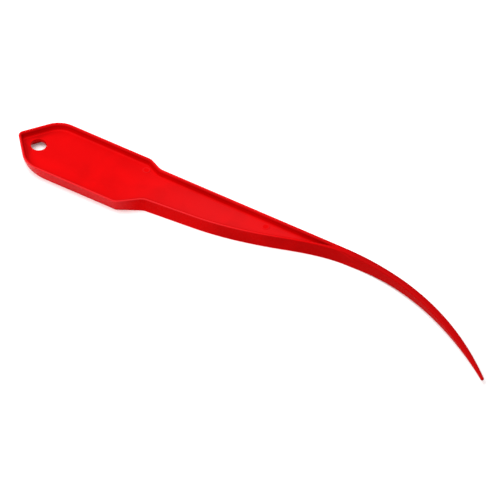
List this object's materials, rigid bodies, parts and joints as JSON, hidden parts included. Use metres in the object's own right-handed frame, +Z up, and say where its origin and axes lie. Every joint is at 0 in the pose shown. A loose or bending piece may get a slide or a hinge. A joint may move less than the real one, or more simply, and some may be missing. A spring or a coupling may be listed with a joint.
{
  "type": "shelling pick",
  "caption": "One-piece red plastic pick: a flat bordered handle with a hanging hole, a tapering two-railed blade and a slim prong curving to one side.",
  "frame": {"origin": "under the middle of the whole tool's box, on the surface that it lies on", "axes": "+X along the tool from the handle's nose to the prong's tip, +Y towards the straight back edge, +Z up from the face that it lies on"},
  "size_m": [0.2234, 0.0346, 0.0068],
  "materials": {
    "red_moulding": "satin gloss, as it leaves the mould"
  },
  "bodies": {
    "root": {"handle_rim": "red_moulding", "handle_panel": "red_moulding", "back_rail": "red_moulding", "belly_rail": "red_moulding", "blade_panel": "red_moulding", "prong": "red_moulding"}
  },
  "joints": []
}
